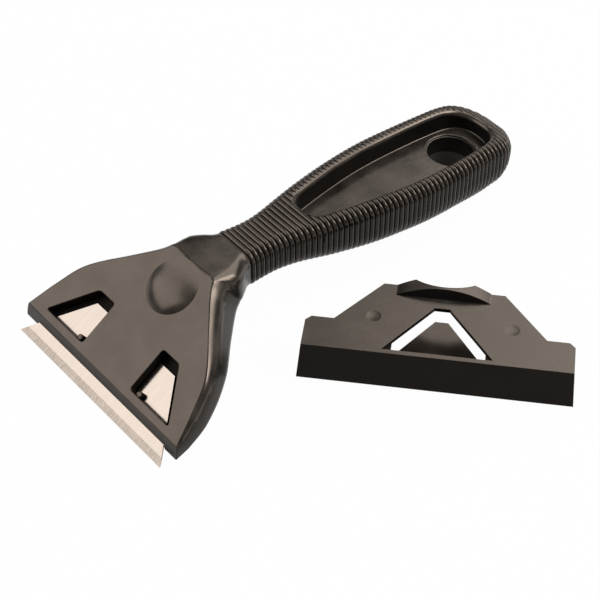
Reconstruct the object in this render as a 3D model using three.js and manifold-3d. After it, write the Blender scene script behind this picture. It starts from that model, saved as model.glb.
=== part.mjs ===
// Window scraper: a one-piece ribbed handle and head, a trapezoid blade in the head's slot,
// and the loose blade guard lying beside it.
// Millimetres, +Z up. +X runs from the cutting edge to the end of the handle.
import * as THREE from 'three';
import { mergeVertices } from 'three/addons/utils/BufferGeometryUtils.js';
import Module from 'manifold-3d';

const wasm = await Module();
wasm.setup();

// Driving dimensions: blade
const BLADE_LENGTH = 61;
const BLADE_BACK_LENGTH = 33;
const BLADE_WIDTH = 19;
const BLADE_THICKNESS = 0.6;
const GRIND_WIDTH = 2.1;
const NOTCH_WIDTH = 3.2;
const NOTCH_DEPTH = 2.4;
const NOTCH_OFFSET = 5.6;

// Driving dimensions: head
const FACE_TILT = THREE.MathUtils.degToRad(32.5);
const HEAD_WIDTH = 64;
const BLADE_DEPTH = 2.9;
const BLADE_REACH = 6.9;
const NOSE_REACH = 2.9;
const NOSE_DEPTH = 3.2;
const FIT_GAP = 0.3;
const SIDE_GAP = 0.4;
const WINDOW_FRONT = 2.2;
const WINDOW_REAR = 15.3;
const WINDOW_INNER = 10.3;
const WINDOW_OUTER_FRONT = 26.2;
const WINDOW_OUTER_REAR = 16.8;
const WINDOW_CORNER = 0.9;
const PIP_RADIUS = 0.9;
const PIP_OFFSET = 12.8;
const PIP_TOP = 1;
const PAD_CENTRE = 28.6;
const PAD_LENGTH = 15.6;
const PAD_WIDTH = 15.2;
const PAD_HEIGHT = 1.5;
const CREASE = 36.6;
const NECK_HALF = 9.6;
const NECK_DEPTH = 13.9;
const EDGE_RADIUS = 0.5;
const NECK_RADIUS = 1.2;
const SHOULDER_SHARE = 0.4;
const HEAD_START = 1.2;
const HEAD_STEPS = 10;
const NECK_STEPS = 5;
const HEAD_POCKET_FRONT = 18.5;
const HEAD_POCKET_REAR = 33;
const HEAD_POCKET_ROOF = 4.4;
const HEAD_WALL = 3.6;
const HEAD_STIFFENER_OFFSET = 10.5;

// Driving dimensions: handle
const LENGTH = 144.5;
const HANDLE_HALF = 14.15;
const RIB_START = 48.5;
const RIB_END = 143;
const RIB_PITCH = 1.595;
const RIB_DEPTH = 0.45;
const END_PLAN = 132.9;
const END_TOP = 128;
const END_BASE = 134.5;
const END_HEIGHT = 10.3;
const WEB_TILT = THREE.MathUtils.degToRad(4.2);
const WEB_THICKNESS = 3;
const HOLE_X = 126.2;
const HOLE_Z = 12.4;
const HOLE_RADIUS = 6.7;
const BOSS_WALL = 1.8;
const BOSS_LENGTH = 6;
const HOLLOW_TIP = 55.2;
const HOLLOW_HALF = 9.15;
const HOLLOW_REAR = 10.6;
const POCKET_START = 74;
const POCKET_END = 132;
const POCKET_SHARE = 0.42;
const STIFFENER = 2;
const STIFFENER_COUNT = 4;
const STIFFENER_RISE = 0.6;
const TIP_STEP = 0.8;
const ARC_STEPS = 4;
const CUT = 40;

// Driving dimensions: guard
const GUARD_HALF = 35.2;
const GUARD_HEIGHT = 11.5;
const GUARD_LEAN = 1;
const GUARD_WALL = 1.3;
const GUARD_PANEL = 1.2;
const SHOULDER_DEPTH = 11.2;
const SHOULDER_INNER = 27.8;
const SHOULDER_CORNER = 1.5;
const PANEL_DEPTH = 25.5;
const PANEL_REAR_HALF = 16.1;
const SLOT_BASE = 2.3;
const SLOT_BASE_HALF = 14.4;
const SLOT_APEX = 18.5;
const SLOT_APEX_HALF = 2;
const TONGUE_THICKNESS = 1.6;
const TONGUE_TIP = 23;
const TONGUE_TIP_HALF = 1.7;
const TONGUE_ROOT_HALF = 11.9;
const WING_INNER = 12.2;
const WING_DEPTH = 16.5;
const LIP_HALF = 12.6;
const LIP_REAR_HALF = 8.1;
const LIP_FRONT = 21.8;
const LIP_CREST = 22.8;
const LIP_REAR = 26.4;
const LIP_HEIGHT = 2.8;
const SCALLOP_DIP = 23.6;
const GUARD_X = 68.7;
const GUARD_Y = -55.4;
const GUARD_YAW = THREE.MathUtils.degToRad(-48.3);

// Where the head's face begins, measured from the cutting edge on the table
const FACE_X = BLADE_REACH * Math.cos(FACE_TILT) - BLADE_DEPTH * Math.sin(FACE_TILT);
const FACE_Z = BLADE_REACH * Math.sin(FACE_TILT) + BLADE_DEPTH * Math.cos(FACE_TILT);
const CREASE_X = FACE_X + CREASE * Math.cos(FACE_TILT);
const CREASE_Z = FACE_Z + CREASE * Math.sin(FACE_TILT);
const SLOT_TOP = BLADE_THICKNESS / 2 + FIT_GAP - BLADE_DEPTH;

// Turns a three.js geometry into a solid that can be joined and cut
function solid(geometry, matrix) {
  const bare = geometry.index ? geometry.clone() : mergeVertices(geometry.clone());
  bare.deleteAttribute('normal');
  bare.deleteAttribute('uv');
  const merged = mergeVertices(bare, 1e-4);
  if (matrix) merged.applyMatrix4(matrix);
  const vertProperties = new Float32Array(merged.attributes.position.array);
  const triVerts = new Uint32Array(merged.index.array);
  return new wasm.Manifold(new wasm.Mesh({ numProp: 3, vertProperties, triVerts }));
}

// Turns a finished solid into a named mesh
function mesh(name, body, material) {
  const data = body.getMesh();
  const geometry = new THREE.BufferGeometry();
  geometry.setAttribute('position', new THREE.BufferAttribute(data.vertProperties, 3));
  geometry.setIndex(new THREE.BufferAttribute(data.triVerts, 1));
  geometry.computeVertexNormals();
  const result = new THREE.Mesh(geometry, material);
  result.name = name;
  return result;
}

// A smooth curve through [x, value] pairs: the slope at each comes from its neighbours,
// and is level where the values turn or stay the same
function curve(pairs) {
  const slopes = pairs.map((pair, i) => {
    const before = pairs[Math.max(i - 1, 0)];
    const after = pairs[Math.min(i + 1, pairs.length - 1)];
    const inside = i > 0 && i < pairs.length - 1;
    if (inside && (pair[1] - before[1]) * (after[1] - pair[1]) <= 0) return 0;
    return (after[1] - before[1]) / (after[0] - before[0]);
  });
  return (x) => {
    const last = pairs.length - 2;
    const found = pairs.findIndex((pair) => pair[0] > x) - 1;
    const i = found < 0 ? (x < pairs[0][0] ? 0 : last) : found;
    const span = pairs[i + 1][0] - pairs[i][0];
    const t = THREE.MathUtils.clamp((x - pairs[i][0]) / span, 0, 1);
    const rise = pairs[i + 1][1] - pairs[i][1];
    const ease = t * t * (3 - 2 * t);
    const start = slopes[i] * span * t * (1 - t) * (1 - t);
    const end = slopes[i + 1] * span * t * t * (t - 1);
    return pairs[i][1] + rise * ease + start + end;
  };
}

// Closed loft through rings of equal point count, with a fan over each end
function loft(rings) {
  const count = rings[0].length;
  const positions = [];
  const index = [];
  rings.flat().forEach((point) => positions.push(point.x, point.y, point.z));
  for (let i = 0; i < rings.length - 1; i += 1) {
    for (let j = 0; j < count; j += 1) {
      const a = i * count + j;
      const b = i * count + ((j + 1) % count);
      index.push(a, b, a + count, b, b + count, a + count);
    }
  }
  [0, rings.length - 1].forEach((i) => {
    const centre = new THREE.Vector3();
    rings[i].forEach((point) => centre.addScaledVector(point, 1 / count));
    const hub = positions.length / 3;
    positions.push(centre.x, centre.y, centre.z);
    for (let j = 0; j < count; j += 1) {
      const a = i * count + j;
      const b = i * count + ((j + 1) % count);
      index.push(hub, ...(i === 0 ? [b, a] : [a, b]));
    }
  });
  const geometry = new THREE.BufferGeometry();
  geometry.setAttribute('position', new THREE.BufferAttribute(new Float32Array(positions), 3));
  geometry.setIndex(index);
  return geometry;
}

// Plan polygon from [x, y] pairs, its corners rounded where a radius is given
function polygon(points, radius = 0) {
  const shape = new THREE.Shape();
  const corners = points.map((pair) => new THREE.Vector2(...pair));
  if (radius === 0) return shape.setFromPoints(corners);
  corners.forEach((corner, i) => {
    const before = corners[(i + corners.length - 1) % corners.length];
    const after = corners[(i + 1) % corners.length];
    const enter = before.clone().sub(corner).setLength(radius).add(corner);
    const leave = after.clone().sub(corner).setLength(radius).add(corner);
    if (i === 0) shape.moveTo(enter.x, enter.y);
    else shape.lineTo(enter.x, enter.y);
    shape.quadraticCurveTo(corner.x, corner.y, leave.x, leave.y);
  });
  shape.closePath();
  return shape;
}

// Prism of a plan shape between two heights
function prism(shape, low, high, steps = 3) {
  const options = { depth: high - low, bevelEnabled: false, curveSegments: steps };
  return new THREE.ExtrudeGeometry(shape, options).translate(0, 0, low);
}

// The same half outline on both sides of the centre line
function mirrored(half) {
  return [...half, ...half.map(([x, y]) => [x, -y]).reverse()];
}

// Frames of the head's face and of the handle's web
const headFrame = new THREE.Matrix4().makeRotationY(-FACE_TILT).setPosition(FACE_X, 0, FACE_Z);
const webFrame = new THREE.Matrix4().makeRotationY(WEB_TILT).setPosition(HOLE_X, 0, HOLE_Z);

// Point of the head, given along the face from its front edge and out from the face
function headPoint(along, out) {
  return new THREE.Vector3(along, 0, out).applyMatrix4(headFrame);
}

// Head: half width of the face, depth under it and outward swell of its side walls
const faceHalf = curve([
  [0, HEAD_WIDTH / 2], [9, 28.7], [17.5, 25], [28, 16.6], [33.7, 11.9], [CREASE, NECK_HALF],
]);
const headDepth = curve([[0, 4.4], [8, 7.8], [16, 9], [21, 10.2], [27, 11.6], [CREASE, NECK_DEPTH]]);
const headSwell = curve([[0, 0.5], [10, 1.7], [22, 1.7], [30, 1], [CREASE, 1]]);
const headBaseRadius = curve([[0, 0.6], [12, 2.4], [CREASE, 3.6]]);
const faceRadius = curve([[0, EDGE_RADIUS], [20, EDGE_RADIUS], [CREASE, NECK_RADIUS]]);

// Neck and handle: half width, top and underside along the length
const neckBase = headPoint(CREASE, -NECK_DEPTH);
const handleHalf = curve([
  [CREASE_X, NECK_HALF], [38, 10.1], [41, 9.95], [44, 9.05], [47.5, 7.75], [56, 7.1], [62, 7.7],
  [70, 9.35], [76, 10.55], [88, 12.5], [100, 13.85], [107, HANDLE_HALF], [118, 13.9], [126, 13.4],
  [END_PLAN, 12.9],
]);
const handleTop = curve([
  [CREASE_X, CREASE_Z], [42, 25.25], [50, 24.4], [58, 23.6], [68, 23.2], [80, 22.6], [94, 21.5],
  [106, 20.3], [118, 19.3], [130, 18.5], [LENGTH, 17.2],
]);
const underside = curve([
  [neckBase.x, neckBase.z], [50, 13.4], [58, 12.1], [66, 10.5], [76, 8.3], [88, 5.95], [100, 4.2],
  [112, 2.1], [118, 1.3], [124, 0.2], [130, -0.5], [END_BASE, -0.5],
]);
const topRadius = curve([[CREASE_X, NECK_RADIUS], [42, 2.2], [50, 3], [60, 3.5], [100, 3.5]]);
const baseRadius = curve([[CREASE_X, 3.6], [48, 4], [60, 4.7], [76, 5.6], [100, 7.4], [112, 8.6], [130, 9.9]]);

// Quarter-circle fade from 1 at start to 0 at the end of the handle
function roundEnd(x, start) {
  const t = THREE.MathUtils.clamp((x - start) / (LENGTH - start), 0, 1);
  return Math.sqrt(1 - t * t);
}

// Half width of the handle, with its round end
function gripHalf(x) {
  return handleHalf(Math.min(x, END_PLAN)) * roundEnd(x, END_PLAN);
}

// Closed ring between a top and a base point, with round corners and swelling sides
function ring(top, base, half, swell, upper, lower) {
  const height = top.distanceTo(base);
  const rise = top.clone().sub(base).normalize();
  const topCorner = Math.min(upper, half * 0.96, height * 0.36);
  const baseCorner = Math.min(lower, half * 0.96, height * 0.6);
  const wide = half + swell;
  const points = [];
  const place = (y, z) => points.push(base.clone().addScaledVector(rise, z).setY(y));
  const arc = (side, inset, z, radius, start) => {
    for (let k = 0; k <= ARC_STEPS; k += 1) {
      const angle = (start + k / ARC_STEPS) * Math.PI / 2;
      place(side * inset + radius * Math.cos(angle), z + radius * Math.sin(angle));
    }
  };
  const shoulder = THREE.MathUtils.lerp(height - topCorner, baseCorner, SHOULDER_SHARE);
  arc(1, half - topCorner, height - topCorner, topCorner, 0);
  arc(-1, half - topCorner, height - topCorner, topCorner, 1);
  place(-wide, shoulder);
  arc(-1, wide - baseCorner, baseCorner, baseCorner, 2);
  arc(1, wide - baseCorner, baseCorner, baseCorner, 3);
  place(wide, shoulder);
  return points;
}

// Ring of the head, square to its face
function headRing(along) {
  const top = headPoint(along, 0);
  const base = headPoint(along, -headDepth(along));
  return ring(top, base, faceHalf(along), headSwell(along), faceRadius(along), headBaseRadius(along));
}

// Front ring, from the face's front edge down to the foot of the nose
function noseRing() {
  const foot = headPoint(-NOSE_REACH, -NOSE_DEPTH);
  return ring(headPoint(0, 0), foot, faceHalf(0), headSwell(0), EDGE_RADIUS, EDGE_RADIUS);
}

// Ring of the neck or handle, drawn in by the depth of a groove above the underside
function gripRing(x, groove = 0) {
  const t = THREE.MathUtils.clamp((x - CREASE_X) / (RIB_START - RIB_PITCH - CREASE_X), 0, 1);
  const lean = (neckBase.x - CREASE_X) * (1 - t) * (1 - t);
  const swell = headSwell(CREASE) * (1 - t);
  const high = THREE.MathUtils.lerp(END_HEIGHT, handleTop(x), roundEnd(x, END_TOP));
  const low = THREE.MathUtils.lerp(END_HEIGHT, underside(x + lean), roundEnd(x, END_BASE));
  const top = new THREE.Vector3(x, 0, high - groove);
  const base = new THREE.Vector3(x + lean, 0, low);
  return ring(top, base, gripHalf(x) - groove, swell, topRadius(x), baseRadius(x));
}

// Outside of head, neck and ribbed handle as one loft, with a flat foot where it stands on the table
function bodyShell() {
  const rings = [noseRing()];
  for (let i = 0; i <= HEAD_STEPS; i += 1) {
    rings.push(headRing(THREE.MathUtils.lerp(HEAD_START, CREASE, i / HEAD_STEPS)));
  }
  for (let i = 1; i <= NECK_STEPS; i += 1) {
    rings.push(gripRing(THREE.MathUtils.lerp(CREASE_X, RIB_START - RIB_PITCH / 2, i / NECK_STEPS)));
  }
  for (let x = RIB_START; x < RIB_END; x += RIB_PITCH) {
    rings.push(gripRing(x, RIB_DEPTH));
    rings.push(gripRing(x + RIB_PITCH / 2));
  }
  rings.push(gripRing(LENGTH - TIP_STEP));
  rings.push(gripRing(LENGTH - TIP_STEP / 8));
  return solid(loft(rings)).trimByPlane([0, 0, 1], 0);
}

// Plan of the hollow in the frame of the web: blunt tip, long flanks and a round rear
function hollowPlan() {
  const runs = [
    [[-HOLLOW_TIP, 0], [-HOLLOW_TIP, 3.6], [-54, 4.7], [-50.5, 5.3]],
    [[-50.5, 5.3], [-40, 7.4], [-30, HOLLOW_HALF], [-18, HOLLOW_HALF]],
    [[-18, HOLLOW_HALF], [-8, HOLLOW_HALF], [-2, 8.9], [3.2, 8.3]],
    [[3.2, 8.3], [8.6, 7.6], [HOLLOW_REAR, 4.6], [HOLLOW_REAR, 0]],
  ];
  const half = [runs[0][0]];
  runs.forEach((run) => {
    const bend = new THREE.CubicBezierCurve(...run.map((pair) => new THREE.Vector2(...pair)));
    half.push(...bend.getPoints(6).slice(1).map((point) => [point.x, point.y]));
  });
  const inner = half.slice(1, -1).reverse();
  return [...half, ...inner.map(([x, y]) => [x, -y])];
}

// Long hollow in the top of the handle, standing on the web
function handleHollow() {
  return solid(prism(polygon(hollowPlan()), 0, CUT), webFrame);
}

// Upright round bar at the hanging hole, between two heights measured from the web
function holeBar(radius, low, high) {
  const bar = new THREE.CylinderGeometry(radius, radius, high - low, 32).rotateX(Math.PI / 2);
  return solid(bar.translate(0, 0, (low + high) / 2), webFrame);
}

// Pockets in the underside of the handle, parted by stiffeners, with a boss left at the hole
function handlePockets() {
  const half = [];
  const steps = 14;
  for (let i = 0; i <= steps; i += 1) {
    const x = THREE.MathUtils.lerp(POCKET_START, POCKET_END, i / steps);
    half.push([x - HOLE_X, gripHalf(x) * POCKET_SHARE]);
  }
  let pockets = solid(prism(polygon(mirrored(half)), -CUT, -WEB_THICKNESS), webFrame);
  const spine = new THREE.BoxGeometry(LENGTH, STIFFENER, CUT);
  pockets = pockets.subtract(solid(spine.translate(LENGTH / 2, 0, CUT / 2 + STIFFENER_RISE)));
  for (let i = 1; i <= STIFFENER_COUNT; i += 1) {
    const x = THREE.MathUtils.lerp(POCKET_START, POCKET_END, i / (STIFFENER_COUNT + 1));
    const web = new THREE.BoxGeometry(STIFFENER, HEAD_WIDTH, CUT);
    pockets = pockets.subtract(solid(web.translate(x, 0, CUT / 2 + underside(x) + STIFFENER_RISE)));
  }
  return pockets.subtract(holeBar(HOLE_RADIUS + BOSS_WALL, -BOSS_LENGTH, CUT));
}

// Plan of the blade, grown by a gap and lengthened past the edge when a slot is made from it
function bladePlan(gap, forward) {
  const slope = (BLADE_LENGTH - BLADE_BACK_LENGTH) / 2 / BLADE_WIDTH;
  const edge = -BLADE_REACH - forward;
  const back = BLADE_WIDTH - BLADE_REACH + gap;
  const backHalf = BLADE_BACK_LENGTH / 2 + gap;
  return mirrored([[edge, backHalf + slope * (back - edge)], [back, backHalf]]);
}

// Slot that the blade slides into, with two lugs that stand in its notches
function bladeSlot() {
  const high = SLOT_TOP;
  const low = high - BLADE_THICKNESS - 2 * FIT_GAP;
  let slot = solid(prism(polygon(bladePlan(SIDE_GAP, BLADE_WIDTH)), low, high), headFrame);
  [-1, 1].forEach((side) => {
    const length = NOTCH_DEPTH - FIT_GAP + SIDE_GAP;
    const lug = new THREE.BoxGeometry(length, NOTCH_WIDTH - 2 * SIDE_GAP, CUT);
    const x = BLADE_WIDTH - BLADE_REACH + SIDE_GAP - length / 2;
    slot = slot.subtract(solid(lug.translate(x, side * NOTCH_OFFSET, 0), headFrame));
  });
  return slot;
}

// Window in the head, from the face down to the blade
function headWindow(side) {
  const points = [
    [WINDOW_FRONT, side * WINDOW_INNER], [WINDOW_FRONT, side * WINDOW_OUTER_FRONT],
    [WINDOW_REAR, side * WINDOW_OUTER_REAR], [WINDOW_REAR, side * WINDOW_INNER],
  ];
  return solid(prism(polygon(points, WINDOW_CORNER), SLOT_TOP, CUT), headFrame);
}

// Small pip in the window's front corner that holds the blade down
function holdDownPip(side) {
  const length = -PIP_TOP - SLOT_TOP;
  const pip = new THREE.CylinderGeometry(PIP_RADIUS, PIP_RADIUS, length, 16).rotateX(Math.PI / 2);
  const x = WINDOW_FRONT + PIP_RADIUS * 0.6;
  return solid(pip.translate(x, side * PIP_OFFSET, SLOT_TOP + length / 2), headFrame);
}

// Raised thumb pad on the face
function thumbPad() {
  const pad = new THREE.SphereGeometry(1, 28, 12).rotateX(Math.PI / 2);
  pad.scale(PAD_LENGTH / 2, PAD_WIDTH / 2, PAD_HEIGHT);
  return solid(pad.translate(PAD_CENTRE, 0, 0), headFrame);
}

// Pockets under one side of the head, parted by a stiffener
function headPocket(side) {
  const points = [[HEAD_POCKET_FRONT, STIFFENER / 2], [HEAD_POCKET_REAR, STIFFENER / 2]];
  const steps = 4;
  for (let i = 0; i <= steps; i += 1) {
    const along = THREE.MathUtils.lerp(HEAD_POCKET_REAR, HEAD_POCKET_FRONT, i / steps);
    points.push([along, faceHalf(along) - HEAD_WALL]);
  }
  const plan = points.map(([x, y]) => [x, side * y]);
  const pocket = solid(prism(polygon(plan), -CUT, -HEAD_POCKET_ROOF), headFrame);
  const stiffener = new THREE.BoxGeometry(CUT, STIFFENER, CUT * 2);
  const x = (HEAD_POCKET_FRONT + HEAD_POCKET_REAR) / 2;
  return pocket.subtract(solid(stiffener.translate(x, side * HEAD_STIFFENER_OFFSET, 0), headFrame));
}

// Handle and head in one moulding
function scraperBody(material) {
  let body = bodyShell().add(thumbPad());
  [-1, 1].forEach((side) => {
    body = body.subtract(headPocket(side));
    body = body.subtract(headWindow(side)).add(holdDownPip(side));
  });
  body = body.subtract(bladeSlot()).subtract(handleHollow()).subtract(handlePockets());
  return mesh('scraper_body', body.subtract(holeBar(HOLE_RADIUS, -CUT, CUT)), material);
}

// Trapezoid blade with a ground edge and two notches in its back
function scraperBlade(material) {
  const thick = BLADE_THICKNESS / 2;
  const back = BLADE_WIDTH - BLADE_REACH;
  const edge = -BLADE_REACH;
  const ground = edge + GRIND_WIDTH;
  const profile = polygon([[edge, 0], [ground, -thick], [back, -thick], [back, thick], [ground, thick]]);
  const bar = prism(profile, -BLADE_LENGTH, BLADE_LENGTH).rotateX(Math.PI / 2);
  let blade = solid(bar).intersect(solid(prism(polygon(bladePlan(0, 0)), -CUT, CUT)));
  [-1, 1].forEach((side) => {
    const notch = new THREE.BoxGeometry(2 * NOTCH_DEPTH, NOTCH_WIDTH, CUT);
    blade = blade.subtract(solid(notch.translate(back, side * NOTCH_OFFSET, 0)));
  });
  const result = mesh('scraper_blade', blade, material);
  result.position.z = -BLADE_DEPTH;
  return result;
}

// Top panel of the guard, with the wedge-shaped slot over the tongue
function guardPanel() {
  const half = [
    [GUARD_HALF, GUARD_LEAN], [GUARD_HALF, SHOULDER_DEPTH - SHOULDER_CORNER],
    [GUARD_HALF - SHOULDER_CORNER, SHOULDER_DEPTH], [SHOULDER_INNER, SHOULDER_DEPTH],
    [PANEL_REAR_HALF, PANEL_DEPTH],
  ];
  const panel = prism(polygon(mirroredAcross(half)), GUARD_HEIGHT - GUARD_PANEL, GUARD_HEIGHT);
  const slot = polygon(mirroredAcross([[SLOT_BASE_HALF, SLOT_BASE], [SLOT_APEX_HALF, SLOT_APEX]]));
  return solid(panel).subtract(solid(prism(slot, -CUT, CUT)));
}

// The same half outline on both sides of the guard's middle
function mirroredAcross(half) {
  return [...half, ...half.map(([x, y]) => [-x, y]).reverse()];
}

// Front wall of the guard, leaning back a little
function guardWall() {
  const profile = polygon([
    [0, 0], [GUARD_WALL, 0], [GUARD_LEAN + GUARD_WALL, GUARD_HEIGHT], [GUARD_LEAN, GUARD_HEIGHT],
  ]);
  const wall = prism(profile, -GUARD_HALF, GUARD_HALF);
  return solid(wall.rotateX(Math.PI / 2).rotateZ(Math.PI / 2));
}

// Closed end of the guard
function guardEnd(side) {
  const profile = polygon([
    [0, 0], [SHOULDER_DEPTH - SHOULDER_CORNER, 0],
    [SHOULDER_DEPTH - SHOULDER_CORNER, GUARD_HEIGHT], [GUARD_LEAN, GUARD_HEIGHT],
  ]);
  const end = prism(profile, 0, GUARD_WALL).rotateX(Math.PI / 2).rotateZ(Math.PI / 2);
  return solid(end.translate(side > 0 ? GUARD_HALF - GUARD_WALL : -GUARD_HALF, 0, 0));
}

// Springy tongue under the head, in the middle of the guard
function guardTongue() {
  const slope = (TONGUE_ROOT_HALF - TONGUE_TIP_HALF) / (TONGUE_TIP - SHOULDER_DEPTH);
  const root = Math.min(TONGUE_ROOT_HALF + slope * SHOULDER_DEPTH, WING_INNER - 2);
  const half = [[root, 0], [root, SHOULDER_DEPTH], [TONGUE_TIP_HALF, TONGUE_TIP]];
  return solid(prism(polygon(mirroredAcross(half)), 0, TONGUE_THICKNESS));
}

// Wing under the head on each side of the tongue
function guardWing(side) {
  const points = [
    [WING_INNER, 0], [GUARD_HALF, 0], [GUARD_HALF, SHOULDER_DEPTH - SHOULDER_CORNER],
    [SHOULDER_INNER, SHOULDER_DEPTH], [WING_INNER, WING_DEPTH],
  ];
  return solid(prism(polygon(points.map(([x, y]) => [side * x, y])), 0, TONGUE_THICKNESS));
}

// Arched thumb lip at the rear of the panel, its front leaning back
function guardLip() {
  const foot = -GUARD_PANEL / 2;
  const radius = (LIP_HALF * LIP_HALF + LIP_HEIGHT * LIP_HEIGHT) / (2 * LIP_HEIGHT);
  const spread = Math.asin(LIP_HALF / radius);
  const arch = new THREE.Shape();
  arch.moveTo(-LIP_HALF, foot);
  arch.lineTo(LIP_HALF, foot);
  arch.absarc(0, LIP_HEIGHT - radius, radius, Math.PI / 2 - spread, Math.PI / 2 + spread, false);
  const bar = prism(arch, -LIP_REAR, -LIP_FRONT, 12).rotateX(Math.PI / 2).translate(0, 0, GUARD_HEIGHT);
  const half = [[LIP_HALF, LIP_FRONT], [LIP_HALF, PANEL_DEPTH], [LIP_REAR_HALF, LIP_REAR]];
  const plan = prism(polygon(mirroredAcross(half)), 0, CUT);
  const profile = polygon([
    [LIP_FRONT, foot], [LIP_REAR, foot], [LIP_REAR, LIP_HEIGHT], [LIP_CREST, LIP_HEIGHT], [LIP_FRONT, 0],
  ]);
  const side = prism(profile, -GUARD_HALF, GUARD_HALF).rotateX(Math.PI / 2).rotateZ(Math.PI / 2);
  return solid(bar).intersect(solid(plan)).intersect(solid(side.translate(0, 0, GUARD_HEIGHT)));
}

// Round scallop in the rear edge of the lip and panel
function lipScallop() {
  const sag = LIP_REAR - SCALLOP_DIP;
  const radius = (LIP_REAR_HALF * LIP_REAR_HALF + sag * sag) / (2 * sag);
  const bar = new THREE.CylinderGeometry(radius, radius, CUT, 96).rotateX(Math.PI / 2);
  return solid(bar.translate(0, SCALLOP_DIP + radius, GUARD_HEIGHT));
}

// Blade guard in one moulding
function bladeGuard(material) {
  let guard = guardPanel().add(guardWall()).add(guardTongue()).add(guardLip());
  [-1, 1].forEach((side) => {
    guard = guard.add(guardEnd(side)).add(guardWing(side));
  });
  const result = mesh('blade_guard', guard.subtract(lipScallop()), material);
  result.position.set(GUARD_X, GUARD_Y, 0);
  result.rotation.z = GUARD_YAW;
  return result;
}

const bodyPlastic = new THREE.MeshStandardMaterial({ color: 0x2e2926, roughness: 0.45, metalness: 0 });
const guardPlastic = new THREE.MeshStandardMaterial({ color: 0x2b2724, roughness: 0.5, metalness: 0 });
const bladeSteel = new THREE.MeshStandardMaterial({ color: 0xcfc8c0, roughness: 0.3, metalness: 1 });

const head = new THREE.Group();
head.position.set(FACE_X, 0, FACE_Z);
head.rotation.y = -FACE_TILT;
head.add(scraperBlade(bladeSteel));

const scraper = new THREE.Group();
scraper.add(scraperBody(bodyPlastic), head, bladeGuard(guardPlastic));

// The origin is under the middle of the whole set, on the table
const box = new THREE.Box3().setFromObject(scraper, true);
const middle = box.getCenter(new THREE.Vector3());
scraper.position.set(-middle.x, -middle.y, -box.min.z);

export default scraper;
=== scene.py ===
import math

import bmesh
import bpy
from mathutils import Matrix, Vector
from mathutils.geometry import delaunay_2d_cdt, interpolate_bezier


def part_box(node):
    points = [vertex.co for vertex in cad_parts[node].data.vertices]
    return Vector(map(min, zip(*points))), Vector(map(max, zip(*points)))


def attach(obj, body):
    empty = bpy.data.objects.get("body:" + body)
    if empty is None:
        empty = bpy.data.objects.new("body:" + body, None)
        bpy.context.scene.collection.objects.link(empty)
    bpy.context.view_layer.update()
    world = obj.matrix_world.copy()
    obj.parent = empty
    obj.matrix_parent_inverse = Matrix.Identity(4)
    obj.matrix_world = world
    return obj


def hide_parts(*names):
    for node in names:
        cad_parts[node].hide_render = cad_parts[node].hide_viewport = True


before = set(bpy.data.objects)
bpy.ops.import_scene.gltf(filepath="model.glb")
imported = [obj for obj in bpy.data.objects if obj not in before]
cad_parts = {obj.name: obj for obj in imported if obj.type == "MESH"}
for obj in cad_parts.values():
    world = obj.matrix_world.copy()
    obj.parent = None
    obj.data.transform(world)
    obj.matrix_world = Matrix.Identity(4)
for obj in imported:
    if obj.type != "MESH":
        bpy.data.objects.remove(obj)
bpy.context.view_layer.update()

# Window scraper with its blade and its loose blade guard, in moulded black plastic.
# Shapes are made in millimetres in the tool's own frame: the middle of the cutting edge is
# at the origin on the table, +X runs to the end of the handle and +Z is up.
# CUT reaches right through the part.
MM = 0.001
CUT = 40
blade_low, blade_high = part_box("scraper_blade")
TOOL_ORIGIN = Vector((blade_low.x, (blade_low.y + blade_high.y) / 2, 0))

# Blade
BLADE_LENGTH = 61
BLADE_BACK_LENGTH = 33
BLADE_WIDTH = 19
BLADE_THICKNESS = 0.6
GRIND_WIDTH = 2.1
NOTCH_WIDTH = 3.2
NOTCH_DEPTH = 2.4
NOTCH_OFFSET = 5.6
BLADE_SHARP = math.radians(5)

# Head: along the face from its front edge, across from its middle, and down from the face
FACE_TILT = math.radians(32.5)
HEAD_WIDTH = 64
BLADE_DEPTH = 2.9
BLADE_REACH = 6.9
NOSE_REACH = 2.9
NOSE_DEPTH = 3.2
FIT_GAP = 0.3
SIDE_GAP = 0.4
WINDOW_FRONT = 2.2
WINDOW_REAR = 15.3
WINDOW_INNER = 10.3
WINDOW_OUTER_FRONT = 26.2
WINDOW_OUTER_REAR = 16.8
WINDOW_CORNER = 0.9
WINDOW_EDGE = 0.25
WINDOW_FLOOR = 3.56
PIP_RADIUS = 0.9
PIP_OFFSET = 12.8
PIP_TOP = 1
PIP_INSET = 0.6
PIP_ROUND = 0.3
PAD_CENTRE = 28.6
PAD_LENGTH = 15.6
PAD_WIDTH = 15.2
PAD_HEIGHT = 1.5
PAD_EDGE = 3
PAD_CREST = -0.5
PAD_SPACING = 1.5
CREASE = 36.6
NECK_HALF = 8.6
NECK_SWELL = 2.4
NECK_BLEND = 0.35
RELAX_REACH = 4
RELAX_DEPTH = 8.5
RELAX_STEPS = 10
RELAX_SHARE = 0.5
NECK_DEPTH = 14.2
NOSE_RADIUS = 0.4
EDGE_RADIUS = 0.9
EDGE_TURN = math.radians(42)
SHOULDER_DROP = 4.5
SHOULDER_SHARE = 0.9
FRONT_RADIUS = 0.3
HEAD_START = 1.2
HEAD_STEPS = 44
HEAD_POCKET_FRONT = 18.5
HEAD_POCKET_REAR = 33
HEAD_POCKET_ROOF = 4.4
HEAD_WALL = 3.6
HEAD_STIFFENER_OFFSET = 10.5

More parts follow.
